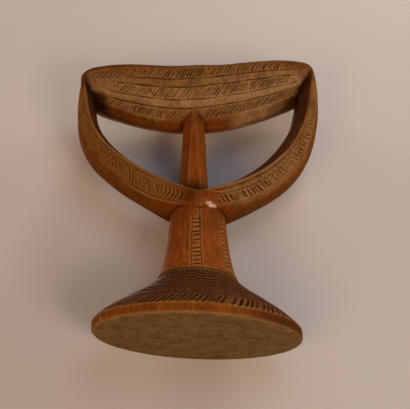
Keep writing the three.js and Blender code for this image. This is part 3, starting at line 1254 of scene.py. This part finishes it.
    def finish(self, mesh: bpy.types.Mesh) -> bpy.types.Object:
        """Thins the skin to its share of faces, sets it as the hand left it, and scales it.

        Args:
            mesh: The carved skin, in millimetres.

        Returns:
            The piece, in metres.
        """
        block = place("rough", mesh)
        thin = block.modifiers.new("thin", "DECIMATE")
        thin.ratio = self.faces / (2 * len(mesh.polygons))
        thin.use_collapse_triangulate = True
        skin = self.settle(block)
        points, _, _ = self.read(skin)
        skin.shade_smooth()
        self.move(skin, np.clip(self.hand.place(points) * MM, *np.array(SOLID_BOX)))
        return place("carved_headrest", skin)


def linear(colour: str) -> tuple[float, float, float, float]:
    """Turns an sRGB hex colour into Blender's linear one.

    Args:
        colour: The colour, such as "#7a4314".

    Returns:
        Its red, green, blue and alpha.
    """
    parts = [int(colour[i : i + 2], 16) / 255 for i in (1, 3, 5)]
    light = [c / 12.92 if c <= 0.04045 else ((c + 0.055) / 1.055) ** 2.4 for c in parts]
    return (*light, 1.0)


def add(
    tree: bpy.types.NodeTree, kind: str, links: dict[Any, Any] | None = None, **settings: Any
) -> bpy.types.Node:
    """Adds a node with its settings and its links.

    Args:
        tree: The material's tree.
        kind: The node's type.
        links: For each input's name or number, the socket that feeds it or its value.
        settings: The node's own settings.

    Returns:
        The node.
    """
    node = tree.nodes.new(kind)
    for name, value in settings.items():
        setattr(node, name, value)
    for name, value in (links or {}).items():
        if isinstance(value, bpy.types.NodeSocket):
            tree.links.new(value, node.inputs[name])
        else:
            node.inputs[name].default_value = value
    return node


def blank(name: str) -> bpy.types.Material:
    """Makes a material without nodes.

    Args:
        name: Its name.

    Returns:
        The material.
    """
    material = bpy.data.materials.new(name)
    material.use_nodes = True
    material.node_tree.nodes.clear()
    return material


@dataclass(frozen=True)
class Layer:
    """A colour laid over the wood, as a pattern or a note goes from low to high."""

    source: str
    low: float
    high: float
    colour: str
    strength: float
    within: str = ""


@dataclass(frozen=True)
class Pattern:
    """Noise whose spots have a size in millimetres along each axis."""

    name: str
    size: Triple
    detail: float


@dataclass(frozen=True)
class HandledHardwood:
    """Carved hardwood, oiled by hands and darkened by smoke.

    Close-grained wood that was cut with a knife and never varnished. What stands out is painted
    paler, for long handling and a warm painted highlight. Dirt makes every cut dark and dull, and
    the hollows get painted shade.
    """

    body: str = "#7a4314"
    # The real growth lines are 0.4 mm apart and the pores 0.2 mm wide. The render's pixels are half
    # a millimetre, so both are drawn as coarse as they need to show. Blotches, dirt and the painted
    # shade are true.
    patterns: tuple[Pattern, ...] = (
        Pattern("grain", (1.3, 1.3, 26), 4),
        Pattern("level", (26, 1.3, 1.3), 4),
        Pattern("blotch", (9, 9, 9), 3),
        Pattern("mottle", (2.2, 2.2, 2.2), 3),
        Pattern("pores", (0.5, 0.5, 7), 1),
    )
    notes: tuple[str, ...] = (
        "cut", "flake", "worked", "tone", "wear_and_highlight", "painted_occlusion", "handled", "smoke_and_painted_shade", "underside",
    )
    # From the bare wood up: where it was worked, painted light, where it was held, its figure,
    # rubbed edges with a painted highlight, smoke with painted shade, painted shade in hollows and
    # the dirt in cuts. The flakes come last, as they broke off last.
    layers: tuple[Layer, ...] = (
        Layer("worked", 0, 1, "#94713e", 0.35),
        # Painted light: the platform's sides and the crescent's right arm are painted lighter as if
        # lit.
        Layer("tone", 0, 1, "#c49763", 0.7),
        Layer("handled", 0, 1, "#863f0b", 0.76),
        Layer("underside", 0, 1, "#7e6a43", 0.85),
        Layer("grain", 0.56, 0.4, "#552a08", 0.44),
        Layer("blotch", 0.45, 0.62, "#552a08", 0.4),
        Layer("mottle", 0.55, 0.7, "#261204", 0.25),
        Layer("mottle", 0.42, 0.3, "#a5763f", 0.2),
        Layer("level", 0.54, 0.66, "#261204", 0.35, "underside"),
        Layer("level", 0.42, 0.3, "#a8925a", 0.25, "underside"),
        Layer("pores", 0.66, 0.74, "#261204", 0.35),
        # Raised edges painted lighter, also within the smoke and shade below: rubbed wear and a
        # painted highlight.
        Layer("wear_and_highlight", 0.01, 0.12, "#b08348", 0.3),
        # Smoke and painted shade: darker on the flank, painted shade inside the crescent, at the
        # lip, on the rim's right and in the corners.
        Layer("smoke_and_painted_shade", 0, 1, "#301302", 0.92),
        Layer("wear_and_highlight", 0.01, 0.12, "#7a4a20", 0.4, "smoke_and_painted_shade"),
        # Painted shade: broad hollows darker.
        Layer("painted_occlusion", 0.05, 0.5, "#261204", 0.65),
        Layer("cut", 0.1, 0.9, "#2a1405", 0.54),
        Layer("flake", 0, 1, "#e6c2a8", 0.95),
        Layer("mottle", 0.5, 0.62, "#a06a48", 0.5, "flake"),
    )
    # The lamps are smaller and stronger than a room's soft light, so the shine is set low.
    rough: float = 0.68
    dirty_rough: float = 0.85
    grain_depth: float = 0.05
    shine: float = 0.025

    def material(self) -> bpy.types.Material:
        """Builds the material.

        Returns:
            The material.
        """
        material = blank("handled_hardwood")
        tree = material.node_tree
        where = add(tree, "ShaderNodeTexCoord").outputs["Object"]
        sources = {}
        for name in self.notes:
            sources[name] = add(tree, "ShaderNodeAttribute", attribute_name=name).outputs["Fac"]
        for pattern in self.patterns:
            links = {0: where, 1: tuple(1 / (size * MM) for size in pattern.size)}
            spot = add(tree, "ShaderNodeVectorMath", links, operation="MULTIPLY").outputs[0]
            links = {"Vector": spot, "Scale": 1.0, "Detail": pattern.detail, "Roughness": 0.6}
            sources[pattern.name] = add(tree, "ShaderNodeTexNoise", links).outputs["Fac"]
        colour = linear(self.body)
        for layer in self.layers:
            strength = layer.strength
            if layer.within:
                links = {0: sources[layer.within], 1: layer.strength}
                strength = add(tree, "ShaderNodeMath", links, operation="MULTIPLY").outputs[0]
            links = {
                "Value": sources[layer.source],
                "From Min": layer.low,
                "From Max": layer.high,
                "To Max": strength,
            }
            share = add(tree, "ShaderNodeMapRange", links).outputs[0]
            links = {0: share, 6: colour, 7: linear(layer.colour)}
            colour = add(tree, "ShaderNodeMix", links, data_type="RGBA").outputs[2]
        links = {
            "Value": sources["cut"],
            "From Max": 0.6,
            "To Min": self.rough,
            "To Max": self.dirty_rough,
        }
        rough = add(tree, "ShaderNodeMapRange", links).outputs[0]
        links = {"Height": sources["grain"], "Strength": 0.6, "Distance": self.grain_depth * MM}
        bump = add(tree, "ShaderNodeBump", links).outputs[0]
        links = {
            "Base Color": colour,
            "Roughness": rough,
            "Normal": bump,
            "IOR": 1.5,
            "Specular IOR Level": self.shine,
        }
        wood = add(tree, "ShaderNodeBsdfPrincipled", links)
        add(tree, "ShaderNodeOutputMaterial", {"Surface": wood.outputs[0]})
        return material


@dataclass
class Headrest:
    """The carved headrest, one piece of wood."""

    foot: Foot = field(default_factory=Foot)
    crescent: Crescent = field(default_factory=Crescent)
    platform: Platform = field(default_factory=Platform)
    post: Post = field(default_factory=Post)
    skin: Skin = field(default_factory=Skin)
    finish: HandledHardwood = field(default_factory=HandledHardwood)

    def build(self) -> bpy.types.Object:
        """Builds and carves the block, and puts it in the solid's place.

        Returns:
            The piece.
        """
        piece = self.skin.build([self.foot, self.crescent, self.platform, self.post])
        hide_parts(NODE)
        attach(piece, BODY)
        return piece

    def dress(self, piece: bpy.types.Object) -> None:
        """Gives the block its finish."""
        piece.data.materials.clear()
        piece.data.materials.append(self.finish.material())


@dataclass(frozen=True)
class MattPaper:
    """Pale, uncoated paper: it shows the soft shadows and no reflection at all."""

    colour: str = "#c2b7ad"
    rough: float = 0.9

    def material(self, name: str) -> bpy.types.Material:
        """Builds the material, which is clear from behind.

        Args:
            name: The name of the sheet that it is for.

        Returns:
            The material.
        """
        material = blank(name + "_paper")
        tree = material.node_tree
        colour = {"Base Color": linear(self.colour), "Roughness": self.rough}
        paper = add(tree, "ShaderNodeBsdfPrincipled", colour)
        clear = add(tree, "ShaderNodeBsdfTransparent")
        side = add(tree, "ShaderNodeNewGeometry").outputs["Backfacing"]
        links = {0: side, 1: paper.outputs[0], 2: clear.outputs[0]}
        shown = add(tree, "ShaderNodeMixShader", links)
        add(tree, "ShaderNodeOutputMaterial", {"Surface": shown.outputs[0]})
        return material


@dataclass
class Table:
    """The pale table that the headrest lies on, and a floor under its foot, in metres.

    The table is upright behind the part and leans to touch foot and platform. Both are seen only
    from the part's side.
    """

    half_width: float = 0.9
    low: float = -0.8
    high: float = 1.0
    gap_at_foot: float = 0.0357
    lean: float = 0.033
    floor: float = -0.0003
    finish: MattPaper = MattPaper()

    def build(self) -> None:
        """Makes the table and the floor."""
        w = self.half_width
        back = [
            (x, self.gap_at_foot - self.lean * z, z)
            for x, z in ((-w, self.low), (w, self.low), (w, self.high), (-w, self.high))
        ]
        floor = [(x, y, self.floor) for x, y in ((-w, -w), (w, -w), (w, w), (-w, w))]
        made = []
        for name, corners in (("table", back), ("floor", floor)):
            mesh = bpy.data.meshes.new(name)
            mesh.from_pydata(corners, [], [(0, 1, 2, 3)])
            mesh.materials.append(self.finish.material(name))
            made.append(place(name, mesh))
        made[1].visible_shadow = made[1].visible_diffuse = made[1].visible_glossy = False


@dataclass(frozen=True)
class Lamp:
    """A square soft light that faces the part's middle, in metres and watts."""

    name: str
    at: Triple
    size: float
    power: float
    colour: str
    middle: Triple = (0, 0, 0.09)

    def hang(self) -> bpy.types.Object:
        """Hangs the lamp.

        Returns:
            The lamp's object.
        """
        data = bpy.data.lights.new(self.name, "AREA")
        data.size, data.energy, data.color = self.size, self.power, linear(self.colour)[:3]
        lamp = place(self.name, data)
        lamp.location = self.at
        facing = Vector(self.middle) - Vector(self.at)
        lamp.rotation_euler = facing.to_track_quat("-Z", "Y").to_euler()
        return lamp


@dataclass
class Studio:
    """Soft daylight from the upper right, and a camera that looks up from below the front.

    The sizes are in metres, the angles in degrees and the picture's places in pixels.
    """

    focal_pixels: float = 700
    width_pixels: int = 410
    height_pixels: int = 409
    azimuth: float = -1.0
    elevation: float = -31.5
    roll: float = 1.5
    depth: float = 0.3756
    origin_pixel: Pair = (197.5, 338.3)
    sensor: float = 36.0
    lamps: tuple[Lamp, ...] = (
        Lamp("front", (0, -0.771, -0.374), 0.4, 0.8, "#d4dfff"),
        Lamp("room", (0.24, -0.84, 0.3), 0.45, 1.7, "#cfdcff"),
        Lamp("right_low", (0.392, -0.603, -0.452), 0.3, 3.1, "#ffeedd"),
        Lamp("left_low", (-0.386, -0.595, -0.464), 0.3, 2.1, "#ffc860"),
        Lamp("window", (0.701, -0.228, 0.606), 0.35, 3.3, "#fff3e0"),
        Lamp("top", (0.19, -0.159, 0.955), 0.3, 6.6, "#fff6ea"),
        Lamp("left", (-0.741, -0.241, 0.54), 0.5, 2.6, "#ffe9d6"),
    )
    behind: Lamp = Lamp("behind", (-0.3, 0.75, 0.85), 0.8, 10, "#fff6ec")
    room_colour: str = "#c8d8ff"
    room_strength: float = 0.05

    def camera(self) -> None:
        """Sets the camera so that the frame's origin falls on its place in the picture."""
        data = bpy.data.cameras.new("camera")
        data.sensor_width = self.sensor
        data.lens = self.sensor * self.focal_pixels / self.width_pixels
        data.clip_start = 0.01
        azimuth, elevation = math.radians(self.azimuth), math.radians(self.elevation)
        ahead = math.cos(elevation)
        back = Vector(
            (math.sin(azimuth) * ahead, -math.cos(azimuth) * ahead, math.sin(elevation))
        )
        right = Vector((0, 0, 1)).cross(back).normalized()
        up = back.cross(right)
        roll = math.radians(self.roll)
        across = right * math.cos(roll) + up * math.sin(roll)
        rise = up * math.cos(roll) - right * math.sin(roll)
        x = (self.origin_pixel[0] - self.width_pixels / 2) / self.focal_pixels * self.depth
        y = (self.height_pixels / 2 - self.origin_pixel[1]) / self.focal_pixels * self.depth
        at = back * self.depth - across * x - rise * y
        turned = Matrix((across, rise, back)).transposed().to_4x4()
        camera = place("camera", data)
        camera.matrix_world = Matrix.Translation(at) @ turned
        bpy.context.scene.camera = camera

    def light(self, piece: bpy.types.Object) -> None:
        """Lights the front softly from seven sides, and the back by a light of its own.

        Args:
            piece: The piece that the light from behind falls on.
        """
        for lamp in self.lamps:
            lamp.hang()
        behind = self.behind.hang()
        only = bpy.data.collections.new("lit_from_behind")
        only.objects.link(piece)
        behind.light_linking.receiver_collection = only
        behind.light_linking.blocker_collection = only
        world = bpy.data.worlds.new("room")
        world.use_nodes = True
        sky = world.node_tree.nodes["Background"].inputs
        sky["Color"].default_value = linear(self.room_colour)
        sky["Strength"].default_value = self.room_strength
        bpy.context.scene.world = world
        bpy.context.scene.view_settings.view_transform = "Standard"


def main() -> None:
    """Builds the headrest, dresses it, and sets the table, the camera and the light."""
    headrest = Headrest()
    piece = headrest.build()
    headrest.dress(piece)
    LOG.info("%s: %d faces", piece.name, len(piece.data.polygons))
    Table().build()
    studio = Studio()
    studio.camera()
    studio.light(piece)


if __name__ == "__main__":
    main()
